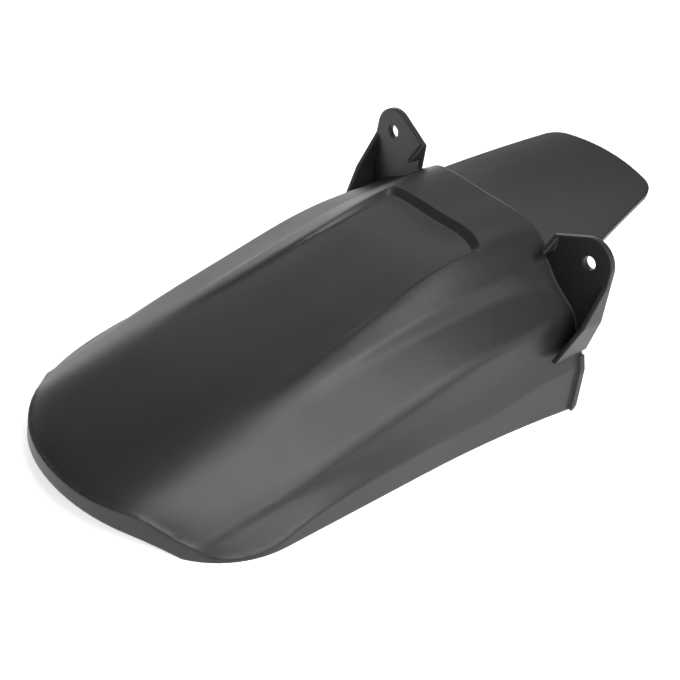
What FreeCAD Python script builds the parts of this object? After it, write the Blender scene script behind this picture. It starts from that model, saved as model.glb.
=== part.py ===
import FreeCAD, Part
import math
import os

# Rear fender of a light motorcycle, moulded in one piece of black plastic, in millimetres.
# +X points to the front of the machine, +Y to its left, +Z up. The skirts' lower edge lies in z = 0,
# and the origin is at the middle of the length on that plane.
# A "back" value is a distance behind the front plate's rear face.

Vector = FreeCAD.Vector

# Main lengths
shell_length = 248.8
tongue_reach = 101.5
wall = 3.0

# Lower edge seen from above: straight sides, a flare at the front, round corners and a round nose at the tail
rim_half_width = 80.5
front_flare = 6.2
flare_length = 95.0
tail_nose_radius = 66.0
tail_flank_angle = math.radians(40.0)
tail_corner_radius = 54.0

# Skirts and tail: a slight draft, a rounded rim, an arch under the tail, and a narrow lip at the front edge
skirt_draft = 0.1
rim_radius = 3.0
tail_arch_rise = 13.0
tail_arch_half = 62.0
skirt_toe_radius = 4.0
flange_width = 1.6
flange_top = 33.0

# Crown line: a ramp that rises from the tail lip and levels off at the front
crown_height = 82.0
lip_height = 21.5
ramp_slope = 0.24
ramp_gain = 0.00032
crown_blend = 7.3

# Feature lines of the upper side at five stations, from the front plate to the tail.
# Outwards from the crown they are the rail's inner edge, its crest, the valley beside it, the fold of the
# shoulder, the foot of the step below the fold, and the hem where the skirt turns down.
# The second station is measured from the plate, the third and fourth from the tail.
knee_station = 57.0
ramp_station = 133.8
tail_station = 83.8
stations = (0.0, knee_station, shell_length - ramp_station, shell_length - tail_station, shell_length)
crown_radius = (230.0, 230.0, 230.0, 200.0, 110.0)
rail_y = (37.0, 31.5, 33.0, 35.0, 34.0)
crest_y = (49.0, 46.0, 43.0, 42.0, 41.5)
crest_z = (69.8, 65.5, 52.0, 37.2, 13.7)
valley_y = (56.5, 50.5, 46.0, 45.5, 45.0)
valley_z = (62.8, 58.9, 49.0, 35.3, 12.0)
fold_y = (72.0, 72.0, 70.5, 68.4, 61.0)
fold_z = (53.3, 49.5, 35.4, 21.5, -3.0)
foot_y = (80.0, 75.0, 73.5, 71.8, 64.0)
foot_z = (37.0, 31.0, 24.5, 15.0, -7.0)
hem_y = (85.2, 80.0, 79.1, 79.6, 70.0)
hem_z = (23.0, 16.0, 14.0, 9.0, -12.0)
valley_round = 1.5
fold_round = 4.0
foot_round = 6.0
inner_round = 0.5
round_share = 0.45
section_spacing = 25.0

# Recessed panel between the rails, deepest at its front wall and running out towards the tail
recess_front = 31.0
recess_end = 185.0
recess_depth = 3.4
recess_wall_run = 1.1
recess_corner = 6.0

# Front plate with its two ears
plate_thickness = 3.0
hole_spacing = 143.0
hole_height = 82.5
hole_diameter = 7.2
ear_radius = 12.8
ear_inner_y = 48.0
ear_inner_z = 85.0
ear_flare = 1.8
ear_flare_z = 56.0
ear_foot_y = 83.0
ear_foot_z = 36.5
web_thickness = 2.5
outer_web_length = 20.0
outer_web_top = 76.0
inner_web_length = 8.0

# Tongue in front of the plate
tongue_root_z = 65.3
tongue_tip_z = 81.3
tongue_bow = 1.3
tongue_root_half = 57.5
tongue_tip_half = 36.2
tongue_arch_radius = 220.0
tongue_corner_radius = 12.0
tongue_nose_radius = 160.0
tongue_thickness = 3.0

# Places that follow from the sizes above, and lengths that reach well past the part
overall_length = shell_length - skirt_draft * tail_arch_rise + tongue_reach
plate_x = overall_length / 2 - tongue_reach
front_x = plate_x + plate_thickness
clear = 10.0
roof_z = crown_height + 4 * clear
full_width = 4 * rim_half_width


def x_at(back):
    return plate_x - back


def soft_min(a, b, blend):
    """The lower of two heights, with the edge where they cross rounded off."""
    return (a + b - math.hypot(a - b, blend)) / 2


def along(values, back):
    """A feature line's value at a place along the shell: a smooth curve through the stations."""
    last = len(stations) - 1
    i = next((k for k in range(last) if back <= stations[k + 1]), last - 1)
    step = stations[i + 1] - stations[i]

    def slope(k):
        low, high = max(k - 1, 0), min(k + 1, last)
        return (values[high] - values[low]) / (stations[high] - stations[low])

    t = (back - stations[i]) / step
    start, end = values[i], values[i + 1]
    bend_in, bend_out = slope(i) * step, slope(i + 1) * step
    return (start * (1 + 2 * t) * (1 - t) ** 2 + bend_in * t * (1 - t) ** 2
            + end * t * t * (3 - 2 * t) - bend_out * t * t * (1 - t))


def crown_z(back):
    run = shell_length - back
    ramp = lip_height + run * (ramp_slope + ramp_gain * run)
    return soft_min(ramp, crown_height, crown_blend)


def rail_z(back):
    """Height of the rails' inner edges: on the arch of the crown."""
    return crown_z(back) - along(rail_y, back) ** 2 / (2 * along(crown_radius, back))


def loft_places(first, last):
    """Evenly spread places for the sections of a loft."""
    steps = round((last - first) / section_spacing)
    return [first + (last - first) * k / steps for k in range(steps + 1)]


def crown_curve(back, drop):
    """The crown from crest to crest at one place, lowered by a drop.
    Its ends leave the crest along the rail at the front, and towards the tail they run into the valley."""
    x = x_at(back)
    rail, crest = (along(rail_y, back), rail_z(back)), (along(crest_y, back), along(crest_z, back))
    side = [Vector(x, y, z - drop) for y, z in (rail, crest)]
    across = [Vector(x, -v.y, v.z) for v in reversed(side)] + [Vector(x, 0, crown_z(back) - drop)] + side
    beside = Vector(x, along(valley_y, back), along(valley_z, back) - drop)
    run_out = min(max((back - stations[2]) / (stations[3] - stations[2]), 0), 1)
    end = (side[1] - side[0]).normalize() * (1 - run_out) + (beside - side[1]).normalize() * run_out
    curve = Part.BSplineCurve()
    curve.interpolate(Points=across, InitialTangent=Vector(0, end.y, -end.z), FinalTangent=end)
    return curve.toShape()


def rounded_path(points, rounds):
    """Straight lines through the points, with each inner corner rounded by a curve of the given reach."""
    edges = []
    start = points[0]
    for before, corner, after, reach in zip(points, points[1:], points[2:], rounds):
        shorter = min((corner - before).Length, (after - corner).Length)
        reach = min(reach, round_share * shorter)
        enter = corner + (before - corner).normalize() * reach
        leave = corner + (after - corner).normalize() * reach
        bend = Part.BezierCurve()
        bend.setPoles([enter, corner, leave])
        edges += [Part.makeLine(start, enter), bend.toShape()]
        start = leave
    return edges + [Part.makeLine(start, points[-1])]


def outwards(inner, outer):
    """The point where a facet of a section, carried on, leaves the width of the blank."""
    beyond = rim_half_width + 2 * clear
    return beyond, outer[1] + (beyond - outer[0]) * (outer[1] - inner[1]) / (outer[0] - inner[0])


def closed_section(x, top, half, rounds):
    """A closed section: a curve over the middle, facets outwards on both sides, and a low straight bottom."""
    left = rounded_path([Vector(x, y, z) for y, z in half], rounds)
    right = rounded_path([Vector(x, -y, z) for y, z in half], rounds)
    y, z = half[-1]
    corners = [Vector(x, y, z), Vector(x, y, -roof_z), Vector(x, -y, -roof_z), Vector(x, -y, z)]
    ends = [Part.makeLine(a, b) for a, b in zip(corners, corners[1:])]
    return Part.Wire(Part.__sortEdges__([top] + left + ends + right))


def outer_section(back):
    """The upper side's section: rails, valleys, shoulders, steps and bands."""
    lines = (crest_y, crest_z), (valley_y, valley_z), (fold_y, fold_z), (foot_y, foot_z), (hem_y, hem_z)
    half = [(along(ys, back), along(zs, back)) for ys, zs in lines]
    half[-1] = outwards(*half[-2:])
    return closed_section(x_at(back), crown_curve(back, 0), half, (valley_round, fold_round, foot_round))


def inner_section(back):
    """The plain inner side: a wall below the upper side, with no risers or recess."""
    x, drop = x_at(back), recess_depth + wall
    rail, low = along(rail_y, back), rail_z(back) - drop
    lines = (valley_y, valley_z), (fold_y, fold_z), (foot_y, foot_z), (hem_y, hem_z)
    half = [(rail, low)] + [(along(ys, back) - wall, along(zs, back) - wall) for ys, zs in lines]
    half[-1] = outwards(*half[-2:])
    arch = Part.Arc(Vector(x, -rail, low), Vector(x, 0, crown_z(back) - drop), Vector(x, rail, low))
    return closed_section(x, arch.toShape(), half, (inner_round, inner_round, inner_round))


def recess_wires(back):
    """The recess at one place: the space over its floor, and the space between its leaning side walls."""
    depth = recess_depth * (recess_end - back) / (recess_end - recess_front)
    floor = crown_curve(back, depth)
    tips = [v.Point for v in floor.Vertexes]
    over = [tips[0], Vector(tips[0].x, tips[0].y, roof_z), Vector(tips[1].x, tips[1].y, roof_z), tips[1]]
    space = Part.Wire(Part.__sortEdges__([floor] + [Part.makeLine(a, b) for a, b in zip(over, over[1:])]))
    rail, edge_z, high = along(rail_y, back), rail_z(back), 2 * clear
    leaning = [(rail - recess_wall_run * clear, edge_z - clear),
               (rail + recess_wall_run * high, edge_z + high)]
    ring = [Vector(x_at(back), y, z) for y, z in leaning + [(-y, z) for y, z in reversed(leaning)]]
    return space, Part.makePolygon(ring + ring[:1])


def recess():
    """What the recessed panel takes away: a trough along the crown behind a leaning front wall."""
    wires = [recess_wires(back) for back in loft_places(recess_front - 2 * clear, recess_end + 2 * clear)]
    walls = Part.makeLoft([w[1] for w in wires], True)
    top, high = crown_z(recess_front), 2 * clear
    front, tail, run = x_at(recess_front), x_at(shell_length), recess_wall_run * high
    side_view = [(front + run, top + high), (front - run, top - high),
                 (tail, top - shell_length), (tail, top + high)]
    walls = walls.common(prism_xz(side_view, -full_width / 2, full_width))
    corners = [e for e in walls.Edges if min(v.X for v in e.Vertexes) > front - run - clear
               and max(v.Z for v in e.Vertexes) - min(v.Z for v in e.Vertexes) > clear]
    return walls.makeFillet(recess_corner, corners).common(Part.makeLoft([w[0] for w in wires], True))


def rim_outline(inset, z, front):
    """The closed line of the skirts and tail at one height, moved in from the rim by an inset."""
    half = rim_half_width - inset
    nose, corner = tail_nose_radius - inset, tail_corner_radius - inset
    nose_x = x_at(shell_length - tail_nose_radius)
    lean = tail_flank_angle
    flank_x, flank_y = nose_x - nose * math.cos(lean), nose * math.sin(lean)
    corner_y = half - corner
    bend_y = corner_y + corner * math.sin(lean)
    bend_x = flank_x + (bend_y - flank_y) * math.tan(lean)
    corner_x = bend_x + corner * math.cos(lean)
    middle = (math.pi / 2 + lean) / 2
    flare_x = x_at(flare_length)
    flare_middle = (flare_x + front) / 2
    flare_radius = (flare_length ** 2 + front_flare ** 2) / (2 * front_flare)

    def flare_y(x):
        return half + flare_radius - math.sqrt(flare_radius ** 2 - (x - flare_x) ** 2)

    def side(s):
        def point(x, y):
            return Vector(x, s * y, z)

        flare = Part.Arc(point(front, flare_y(front)), point(flare_middle, flare_y(flare_middle)),
                         point(flare_x, half))
        bend = Part.Arc(point(corner_x, half),
                        point(corner_x - corner * math.cos(middle), corner_y + corner * math.sin(middle)),
                        point(bend_x, bend_y))
        return [flare, Part.LineSegment(point(flare_x, half), point(corner_x, half)), bend,
                Part.LineSegment(point(bend_x, bend_y), point(flank_x, flank_y))]

    tail = Part.Arc(Vector(flank_x, flank_y, z), Vector(nose_x - nose, 0, z), Vector(flank_x, -flank_y, z))
    front_line = Part.LineSegment(Vector(front, -flare_y(front), z), Vector(front, flare_y(front), z))
    edges = [e.toShape() for e in side(1) + [tail] + side(-1)[::-1] + [front_line]]
    return Part.Wire(Part.__sortEdges__(edges))


def rim_block(inset, bottom, front):
    """The blank inside the rim line, with drafted sides."""
    wires = [rim_outline(inset + skirt_draft * z, z, front) for z in (bottom, roof_z)]
    return Part.makeLoft(wires, True, True)


def rim_edges(shell):
    """The edges where the drafted side meets the upper side."""
    side_rise = math.sin(math.atan(skirt_draft))
    found = []
    for edge in shell.Edges:
        middle = edge.valueAt((edge.FirstParameter + edge.LastParameter) / 2)
        faces = shell.ancestorsOfType(edge, Part.Face)
        rises = sorted(face.normalAt(*face.Surface.parameter(middle)).z for face in faces)
        if abs(rises[0] - side_rise) < 0.1 * side_rise and rises[-1] > 2 * side_rise:
            found.append(edge)
    return found


def round_rim(shell):
    """Rounds the rim edge, on the tail and on the skirts one after the other, and joins them again."""
    corner = Vector(x_at(stations[3]) - shell_length, -full_width / 2, -roof_z)
    tail_space = Part.makeBox(shell_length, full_width, 2 * roof_z, corner)
    pieces = shell.common(tail_space), shell.cut(tail_space)
    tail, skirts = [piece.makeFillet(rim_radius, rim_edges(piece)) for piece in pieces]
    return tail.fuse(skirts)


def prism_xz(points, y, width):
    """A side view pushed across the part."""
    wire = Part.makePolygon([Vector(x, y, z) for x, z in points + points[:1]])
    return Part.Face(wire).extrude(Vector(0, width, 0))


def ear_blank(x, length):
    """The ear's outline on the left side, pushed along X: round tip, flared outer edge, tapered foot."""
    hole_y = hole_spacing / 2
    outer_y = hole_y + ear_radius
    lean = math.atan2(hole_height - ear_inner_z, hole_y - ear_inner_y)
    span = math.hypot(hole_height - ear_inner_z, hole_y - ear_inner_y)
    top = lean + math.pi - math.acos(ear_radius / span)

    def on_tip(angle):
        return Vector(x, hole_y + ear_radius * math.cos(angle), hole_height + ear_radius * math.sin(angle))

    corners = [on_tip(0), Vector(x, outer_y + ear_flare, ear_flare_z), Vector(x, ear_foot_y, ear_foot_z),
               Vector(x, ear_inner_y, ear_foot_z), Vector(x, ear_inner_y, ear_inner_z), on_tip(top)]
    edges = [Part.Arc(on_tip(top), on_tip(top / 2), on_tip(0)).toShape()]
    edges += [Part.makeLine(a, b) for a, b in zip(corners, corners[1:])]
    return Part.Face(Part.Wire(edges)).extrude(Vector(length, 0, 0))


def ear():
    """Left ear: the upright plate with a web along its outer edge and a small one at its inner edge."""
    plate = ear_blank(plate_x, plate_thickness)
    edge_y = hole_spacing / 2 + ear_radius
    rear = [(plate_x, outer_web_top), (plate_x - outer_web_length, ear_foot_z), (plate_x, ear_foot_z)]
    block = prism_xz(rear, edge_y - 2 * web_thickness, 4 * web_thickness)
    rim = ear_blank(plate_x - outer_web_length, outer_web_length)
    outer_web = rim.cut(rim.translated(Vector(0, -web_thickness, 0))).common(block)
    low = ear_inner_z - inner_web_length
    small = [(plate_x, ear_inner_z), (plate_x - inner_web_length, low), (plate_x, low)]
    inner_web = prism_xz(small, ear_inner_y, web_thickness)
    hole = Part.makeCylinder(hole_diameter / 2, 2 * clear,
                             Vector(plate_x - clear, hole_spacing / 2, hole_height), Vector(1, 0, 0))
    return plate.fuse([outer_web, inner_web]).cut(hole)


def mirrored(shape):
    return shape.mirror(Vector(0, 0, 0), Vector(0, 1, 0))


def arch_wire(x, crown, half):
    """Closed section of the tongue: two arcs about one centre, a thickness apart."""
    centre = crown - tongue_arch_radius
    rows = []
    for radius in (tongue_arch_radius, tongue_arch_radius - tongue_thickness):
        z = centre + math.sqrt(radius ** 2 - half ** 2)
        rows.append((Vector(x, -half, z), Vector(x, 0, centre + radius), Vector(x, half, z)))
    upper, lower = rows
    edges = [Part.Arc(*upper).toShape(), Part.makeLine(upper[2], lower[2]),
             Part.Arc(*reversed(lower)).toShape(), Part.makeLine(lower[0], upper[0])]
    return Part.Wire(edges)


def tongue():
    """Thin arched tongue, cut to a tapered outline with round corners and a slightly bowed nose."""
    tip_x = plate_x + tongue_reach
    half = tongue_root_half + clear
    middle = (tongue_root_z + tongue_tip_z) / 2 + tongue_bow
    bar = Part.makeLoft([arch_wire(plate_x, tongue_root_z, half),
                         arch_wire(plate_x + tongue_reach / 2, middle, half),
                         arch_wire(tip_x, tongue_tip_z, half)], True)
    nose_x = tip_x - tongue_nose_radius + math.sqrt(tongue_nose_radius ** 2 - tongue_tip_half ** 2)
    left_root, left_nose = Vector(plate_x, tongue_root_half, 0), Vector(nose_x, tongue_tip_half, 0)
    right_root, right_nose = Vector(plate_x, -tongue_root_half, 0), Vector(nose_x, -tongue_tip_half, 0)
    edges = [Part.makeLine(left_root, left_nose),
             Part.Arc(left_nose, Vector(tip_x, 0, 0), right_nose).toShape(),
             Part.makeLine(right_nose, right_root), Part.makeLine(right_root, left_root)]
    blank = Part.Face(Part.Wire(edges)).extrude(Vector(0, 0, roof_z))
    uprights = [e for e in blank.Edges if e.Vertexes[0].Z != e.Vertexes[-1].Z]
    corners = [e for e in uprights if e.Vertexes[0].X > plate_x + clear]
    return bar.common(blank.makeFillet(tongue_corner_radius, corners))


def front_riser():
    """The part of the front plate between the shell's front edge and the tongue."""
    slab = Part.makeBox(plate_thickness, 2 * tongue_root_half, roof_z,
                        Vector(plate_x, -tongue_root_half, 0))
    centre = Vector(plate_x - clear, 0, tongue_root_z - tongue_arch_radius)
    below = Part.makeCylinder(tongue_arch_radius - tongue_thickness / 2, 4 * clear, centre, Vector(1, 0, 0))
    return slab.cut(below)


def tail_cutter():
    """The arch that lifts the tail's lower edge clear of the floor in the middle."""
    radius = (tail_arch_half ** 2 + tail_arch_rise ** 2) / (2 * tail_arch_rise)
    start = Vector(x_at(shell_length + clear), 0, tail_arch_rise - radius)
    return Part.makeCylinder(radius, shell_length, start, Vector(1, 0, 0))


def toe_cutter():
    """What the rounded lower front corner of both skirts leaves away."""
    r = skirt_toe_radius
    side = Vector(front_x - r, -full_width / 2, 0)
    block = Part.makeBox(2 * r, full_width, 2 * r, side - Vector(0, 0, r))
    bar = Part.makeCylinder(r, full_width, side + Vector(0, 0, r), Vector(0, 1, 0))
    return block.cut(bar)


def front_flange(shell):
    """A narrow lip that stands out along the front edge of both skirts, below the ears."""
    band = Part.makeBox(plate_thickness, full_width, flange_top, Vector(plate_x, -full_width / 2, 0))
    widen = FreeCAD.Matrix()
    widen.scale(1, 1 + flange_width / rim_half_width, 1)
    return shell.common(band).transformGeometry(widen)


def rear_fender():
    """The shell with its recess and rounded rim, hollowed, then joined to its ears, lip, riser and tongue."""
    backs = loft_places(-2 * clear, shell_length + clear)
    upper = Part.makeLoft([outer_section(back) for back in backs], True)
    lower = Part.makeLoft([inner_section(back) for back in backs], True)
    outside = round_rim(rim_block(0, 0, front_x).common(upper)).cut(recess())
    inside = rim_block(wall, -clear, front_x + clear).common(lower)
    riser = front_riser().common(outside)
    body = outside.fuse([ear(), mirrored(ear()), front_flange(outside)]).cut(inside)
    body = body.fuse([riser, tongue()]).cut([toe_cutter(), tail_cutter()])
    return body.removeSplitter()


os.makedirs("parts", exist_ok=True)
fender = rear_fender()
print("valid", fender.isValid(), "solids", len(fender.Solids), "cm3", round(fender.Volume / 1000, 1))
fender.Solids[0].exportStep("parts/rear_fender.step")
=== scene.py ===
import math

import bmesh
import bpy
from mathutils import Matrix, Vector


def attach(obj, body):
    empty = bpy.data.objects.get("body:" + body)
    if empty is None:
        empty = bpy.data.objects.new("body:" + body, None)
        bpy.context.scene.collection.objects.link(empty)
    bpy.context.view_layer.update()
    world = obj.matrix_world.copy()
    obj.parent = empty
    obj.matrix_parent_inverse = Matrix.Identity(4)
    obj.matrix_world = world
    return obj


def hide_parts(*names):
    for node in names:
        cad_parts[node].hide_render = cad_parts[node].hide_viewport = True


# Rear fender of a light motorcycle, one moulding of black polypropylene, shown on a pale studio floor.
# Lengths are metres unless a name ends in MM, and angles are degrees.
# +X is the machine's front, +Y its left, +Z up.

FENDER = "rear_fender"
MM = 0.001

# Softened creases: the part's top is laid onto a smoothed form of itself.
# The form has even cells, and is smoothed in steps: name, rounds, where it starts and where it is full.
# Both places are distances behind the front plate.
PLATE_X = 0.0730
CELL = 0.0012
SOFTENING = (
    ("all_cells", 4, -0.300, -0.200),
    ("ramp_creases", 3, 0.060, 0.090),
    ("tail_dome", 260, 0.140, 0.195),
)
SMOOTH_FACTOR = 0.5
LAID_START = 0.062
LAID_END = 0.115
# The upward part of a face's normal, from which softening starts and is full
SIDE_SLOPE = 0.40
TOP_SLOPE = 0.75
# The mesh that is laid down
MERGE_DISTANCE = 0.00001
LONGEST_EDGE = 0.0028
HALVINGS = 7
SHARP_ANGLE = 30.0

# Camera: behind and above the tail's right side, tipped a little
CAMERA_PLACE = (-0.3030, -0.2968, 0.3499)
CAMERA_HEADING = -44.37
CAMERA_DOWN = 38.47
CAMERA_TIP = 8.97
SENSOR = 36.0
LENS = 55.59

# Stage and surroundings
STAGE_RADIUS = 3.0
WALL_HEIGHT = 0.9
WALL_SIDES = 128
PAPER_COLOUR = "#F0F0EF"
PAPER_ROUGHNESS = 0.9
PAPER_GLOW = 0.75
WHITE = "#FFFFFF"
WORLD_LIGHT = 0.05

# Soft boxes around the part: name, azimuth, elevation, width, height, power in watts
BOX_AIM = (-0.04, 0.0, 0.03)
BOX_DISTANCE = 1.2
SOFT_BOXES = (
    ("right_high_box", 270.0, 60.0, 0.6, 0.6, 8.5),
    ("right_low_box", 270.0, 35.0, 0.6, 0.6, 4.2),
    ("front_left_box", 30.0, 60.0, 0.7, 0.7, 2.4),
    ("left_front_box", 70.0, 38.0, 0.7, 0.6, 1.7),
    ("far_low_box", 48.0, 6.0, 1.2, 0.2, 1.5),
    ("front_right_box", 300.0, 25.0, 0.6, 0.5, 1.6),
)

# Black polypropylene
PLASTIC_COLOUR = "#242425"
PLASTIC_PALE = "#2B2B2C"
PLASTIC_IOR = 1.49
PLASTIC_ROUGHNESS = 0.42
GLOSS_SPREAD = 0.03
GRAIN_MM = 0.7
GRAIN_DEPTH_MM = 0.1
GRAIN_STRENGTH = 0.3
CLOUD_MM = 45.0
EDGE_MM = 1.5
EDGE_SAMPLES = 8
# Most of a noise lies between these values
NOISE_LOW = 0.3
NOISE_HIGH = 0.7


def linear(hex_colour):
    """An sRGB hex colour as linear red, green, blue and alpha."""
    parts = [int(hex_colour[i:i + 2], 16) / 255 for i in (1, 3, 5)]
    return [c / 12.92 if c <= 0.04045 else ((c + 0.055) / 1.055) ** 2.4 for c in parts] + [1.0]


def add_node(tree, kind, settings=None, values=None, links=None):
    """Adds one node, sets its options and input values, and links other nodes' outputs to its inputs."""
    node = tree.nodes.new(kind)
    for name, value in (settings or {}).items():
        setattr(node, name, value)
    for name, value in (values or {}).items():
        node.inputs[name].default_value = value
    for name, output in (links or {}).items():
        tree.links.new(output, node.inputs[name])
    return node


def new_material(name):
    """A material with an empty node tree, and that tree."""
    material = bpy.data.materials.new(name)
    material.use_nodes = True
    material.node_tree.nodes.clear()
    return material, material.node_tree


def moulded_polypropylene():
    """Polypropylene coloured black in the melt, moulded against a spark-eroded steel face.
    That gives a soft grey sheen at low angles, a fine even grain, faint cloudy changes of gloss,
    and edges that are never sharp, so each catches a thin soft light."""
    material, tree = new_material("moulded_polypropylene_black")
    place = add_node(tree, "ShaderNodeTexCoord")
    # The real grit is about 0.2 mm. It is drawn coarser, so that it shows at this distance.
    grain = add_node(tree, "ShaderNodeTexNoise",
                     values={"Scale": 1 / (GRAIN_MM * MM), "Detail": 2.0, "Roughness": 0.6},
                     links={"Vector": place.outputs["Object"]})
    cloud = add_node(tree, "ShaderNodeTexNoise",
                     values={"Scale": 1 / (CLOUD_MM * MM), "Detail": 3.0, "Roughness": 0.5},
                     links={"Vector": place.outputs["Object"]})
    tint = add_node(tree, "ShaderNodeValToRGB", links={"Fac": grain.outputs["Fac"]})
    tint.color_ramp.elements[0].position = NOISE_LOW
    tint.color_ramp.elements[0].color = linear(PLASTIC_COLOUR)
    tint.color_ramp.elements[1].position = NOISE_HIGH
    tint.color_ramp.elements[1].color = linear(PLASTIC_PALE)
    gloss = add_node(tree, "ShaderNodeMapRange",
                     values={"From Min": NOISE_LOW, "From Max": NOISE_HIGH,
                             "To Min": PLASTIC_ROUGHNESS - GLOSS_SPREAD,
                             "To Max": PLASTIC_ROUGHNESS + GLOSS_SPREAD},
                     links={"Value": cloud.outputs["Fac"]})
    soft_edges = add_node(tree, "ShaderNodeBevel", {"samples": EDGE_SAMPLES}, {"Radius": EDGE_MM * MM})
    bump = add_node(tree, "ShaderNodeBump",
                    values={"Strength": GRAIN_STRENGTH, "Distance": GRAIN_DEPTH_MM * MM},
                    links={"Height": grain.outputs["Fac"], "Normal": soft_edges.outputs["Normal"]})
    shader = add_node(tree, "ShaderNodeBsdfPrincipled", values={"IOR": PLASTIC_IOR},
                      links={"Base Color": tint.outputs["Color"], "Roughness": gloss.outputs["Result"],
                             "Normal": bump.outputs["Normal"]})
    add_node(tree, "ShaderNodeOutputMaterial", links={"Surface": shader.outputs["BSDF"]})
    return material


def eased(value, low, high):
    """0 below low, 1 above high, and a smooth change between them."""
    t = min(max((value - low) / (high - low), 0.0), 1.0)
    return t * t * (3 - 2 * t)


def merged_copy(node, name):
    """A copy of a CAD node's mesh with its points merged, as the active object."""
    bpy.ops.object.select_all(action="DESELECT")
    piece = bpy.data.objects.new(name, node.data.copy())
    bpy.context.scene.collection.objects.link(piece)
    bpy.context.view_layer.objects.active = piece
    piece.select_set(True)
    bpy.ops.mesh.customdata_custom_splitnormals_clear()
    bpy.ops.object.mode_set(mode="EDIT")
    bpy.ops.mesh.select_mode(type="EDGE")
    bpy.ops.mesh.select_all(action="SELECT")
    bpy.ops.mesh.remove_doubles(threshold=MERGE_DISTANCE)
    bpy.ops.object.mode_set(mode="OBJECT")
    return piece


def weigh(piece, name, start, end):
    """Adds a vertex group that grows towards the tail, on faces that look up."""
    group = piece.vertex_groups.new(name=name)
    for vertex in piece.data.vertices:
        share = eased(PLATE_X - vertex.co.x, start, end)
        share *= eased(vertex.normal.z, SIDE_SLOPE, TOP_SLOPE)
        group.add([vertex.index], share, "REPLACE")


def soft_form(node):
    """The part as an even mesh whose creases are small at the front and run out in the tail."""
    form = merged_copy(node, "soft_form")
    even = form.modifiers.new("even_cells", "REMESH")
    even.mode = "VOXEL"
    even.voxel_size = CELL
    bpy.ops.object.modifier_apply(modifier=even.name)
    for name, rounds, start, end in SOFTENING:
        weigh(form, name, start, end)
        soft = form.modifiers.new(name, "SMOOTH")
        soft.factor = SMOOTH_FACTOR
        soft.iterations = rounds
        soft.vertex_group = name
        bpy.ops.object.modifier_apply(modifier=soft.name)
    return form


def shorten_edges(mesh):
    """Halves every long edge, again and again, so that the top has points to lay onto the soft form."""
    bpy.ops.object.mode_set(mode="EDIT")
    for _ in range(HALVINGS):
        bpy.ops.mesh.select_all(action="DESELECT")
        shape = bmesh.from_edit_mesh(mesh)
        for edge in shape.edges:
            edge.select_set(edge.calc_length() > LONGEST_EDGE)
        bmesh.update_edit_mesh(mesh)
        bpy.ops.mesh.subdivide(number_cuts=1)
        bpy.ops.mesh.select_all(action="SELECT")
        bpy.ops.mesh.quads_convert_to_tris(quad_method="SHORTEST_DIAGONAL", ngon_method="BEAUTY")
    bpy.ops.object.mode_set(mode="OBJECT")


def moulded_fender(node):
    """The part with the soft creases of a moulding, and with its own clean rim, ears and tongue."""
    form = soft_form(node)
    piece = merged_copy(node, "moulded_fender")
    shorten_edges(piece.data)
    weigh(piece, "laid", LAID_START, LAID_END)
    laid = piece.modifiers.new("laid", "SHRINKWRAP")
    laid.target = form
    laid.wrap_method = "NEAREST_SURFACEPOINT"
    laid.vertex_group = "laid"
    bpy.ops.object.modifier_apply(modifier=laid.name)
    bpy.ops.object.shade_smooth_by_angle(angle=math.radians(SHARP_ANGLE))
    bpy.ops.object.select_all(action="DESELECT")
    form.select_set(True)
    bpy.ops.object.delete()
    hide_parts(FENDER)
    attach(piece, "root")
    return piece


def seen_directly(tree):
    """1 for rays from the camera, and for mirrored or refracted ones, otherwise 0."""
    rays = add_node(tree, "ShaderNodeLightPath")
    total = rays.outputs["Is Camera Ray"]
    for name in ("Is Glossy Ray", "Is Transmission Ray"):
        total = add_node(tree, "ShaderNodeMath", {"operation": "MAXIMUM"},
                         links={0: total, 1: rays.outputs[name]}).outputs["Value"]
    return total


def white_paper():
    """White paper: it takes the part's shadow, and a glow where it is seen lifts it to white."""
    material, tree = new_material("white_paper")
    glow = add_node(tree, "ShaderNodeMath", {"operation": "MULTIPLY"}, {1: PAPER_GLOW},
                    {0: seen_directly(tree)})
    shader = add_node(tree, "ShaderNodeBsdfPrincipled",
                      values={"Base Color": linear(PAPER_COLOUR), "Roughness": PAPER_ROUGHNESS,
                              "Specular IOR Level": 0.0, "Emission Color": linear(WHITE)},
                      links={"Emission Strength": glow.outputs["Value"]})
    add_node(tree, "ShaderNodeOutputMaterial", links={"Surface": shader.outputs["BSDF"]})
    return material


def studio_stage():
    """A paper floor, and a low paper wall around it that ends every view from the side."""
    paper = white_paper()
    bpy.ops.object.select_all(action="DESELECT")
    bpy.ops.mesh.primitive_plane_add(size=2 * STAGE_RADIUS, location=(0, 0, 0))
    floor = bpy.context.object
    floor.name = "paper_floor"
    bpy.ops.mesh.primitive_cylinder_add(vertices=WALL_SIDES, radius=STAGE_RADIUS, depth=WALL_HEIGHT,
                                        end_fill_type="NOTHING", location=(0, 0, WALL_HEIGHT / 2))
    wall = bpy.context.object
    wall.name = "paper_wall"
    for piece in (floor, wall):
        piece.data.materials.append(paper)


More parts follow.
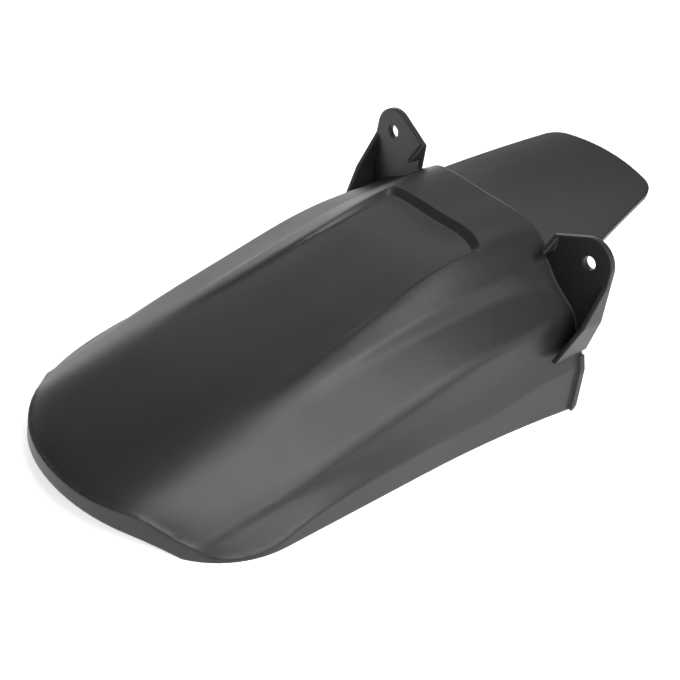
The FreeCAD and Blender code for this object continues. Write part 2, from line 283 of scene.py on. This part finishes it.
def studio_world():
    """A faint even light from all around."""
    world = bpy.data.worlds.new("studio_world")
    bpy.context.scene.world = world
    world.use_nodes = True
    tree = world.node_tree
    tree.nodes.clear()
    shader = add_node(tree, "ShaderNodeBackground",
                      values={"Color": linear(WHITE), "Strength": WORLD_LIGHT})
    add_node(tree, "ShaderNodeOutputWorld", links={"Surface": shader.outputs["Background"]})


def soft_box(name, azimuth, elevation, width, height, power):
    """A flat lamp that looks at the part; azimuth is measured from +X towards +Y."""
    lamp = bpy.data.lights.new(name, "AREA")
    lamp.shape = "RECTANGLE"
    lamp.size, lamp.size_y = width, height
    lamp.energy = power
    holder = bpy.data.objects.new(name, lamp)
    bpy.context.scene.collection.objects.link(holder)
    turn, rise = math.radians(azimuth), math.radians(elevation)
    away = Vector((math.cos(rise) * math.cos(turn), math.cos(rise) * math.sin(turn), math.sin(rise)))
    holder.location = Vector(BOX_AIM) + away * BOX_DISTANCE
    holder.rotation_euler = (-away).to_track_quat("-Z", "Y").to_euler()


def studio_camera():
    """The photograph's viewpoint, found from the part's left-right symmetry."""
    camera = bpy.data.cameras.new("photo_camera")
    camera.sensor_width = SENSOR
    camera.lens = LENS
    holder = bpy.data.objects.new("photo_camera", camera)
    bpy.context.scene.collection.objects.link(holder)
    turn = Matrix.Rotation(math.radians(CAMERA_HEADING), 4, "Z")
    turn = turn @ Matrix.Rotation(math.radians(90 - CAMERA_DOWN), 4, "X")
    turn = turn @ Matrix.Rotation(math.radians(CAMERA_TIP), 4, "Z")
    holder.matrix_world = Matrix.Translation(CAMERA_PLACE) @ turn
    bpy.context.scene.camera = holder


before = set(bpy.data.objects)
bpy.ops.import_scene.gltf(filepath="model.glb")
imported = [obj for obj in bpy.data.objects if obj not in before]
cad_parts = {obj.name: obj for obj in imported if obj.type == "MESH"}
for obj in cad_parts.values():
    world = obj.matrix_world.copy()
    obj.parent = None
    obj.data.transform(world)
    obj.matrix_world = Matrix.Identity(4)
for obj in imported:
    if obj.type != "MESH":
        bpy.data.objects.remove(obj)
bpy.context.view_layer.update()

fender = moulded_fender(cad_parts[FENDER])
fender.data.materials.clear()
fender.data.materials.append(moulded_polypropylene())

studio_stage()
studio_world()
for box in SOFT_BOXES:
    soft_box(*box)
studio_camera()
bpy.context.scene.view_settings.view_transform = "Standard"
